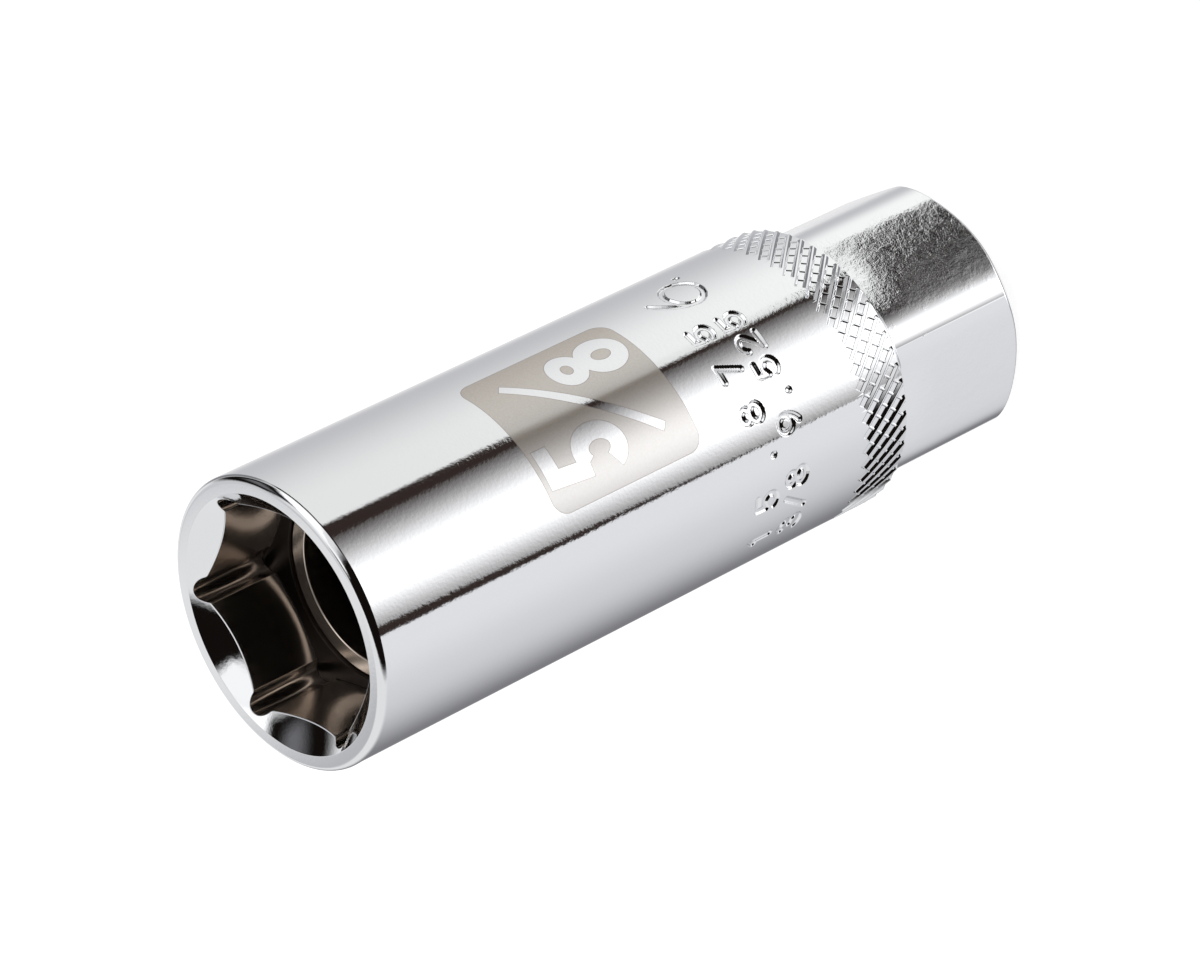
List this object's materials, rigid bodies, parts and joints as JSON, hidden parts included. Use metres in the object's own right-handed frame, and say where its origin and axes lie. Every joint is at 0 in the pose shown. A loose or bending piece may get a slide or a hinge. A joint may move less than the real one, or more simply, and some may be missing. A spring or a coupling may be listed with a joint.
{
  "type": "spark plug socket",
  "caption": "Round chrome-plated steel socket with a relieved hexagonal mouth, a ring magnet that holds the plug, a knurled band and a hexagonal drive end with a square drive hole.",
  "frame": {"origin": "centre of the drive end's face, on which the socket stands", "axes": "+Z along the socket's axis towards the open hexagonal mouth; +X square to a side of the drive square and to a flat of the outer hexagon"},
  "size_m": [0.022, 0.022, 0.065],
  "materials": {
    "chrome_plate": "bright chrome plate on polished steel",
    "nickel_plate": "nickel plate"
  },
  "bodies": {
    "root": {"socket_body": "chrome_plate", "ring_magnet": "nickel_plate"}
  },
  "joints": []
}
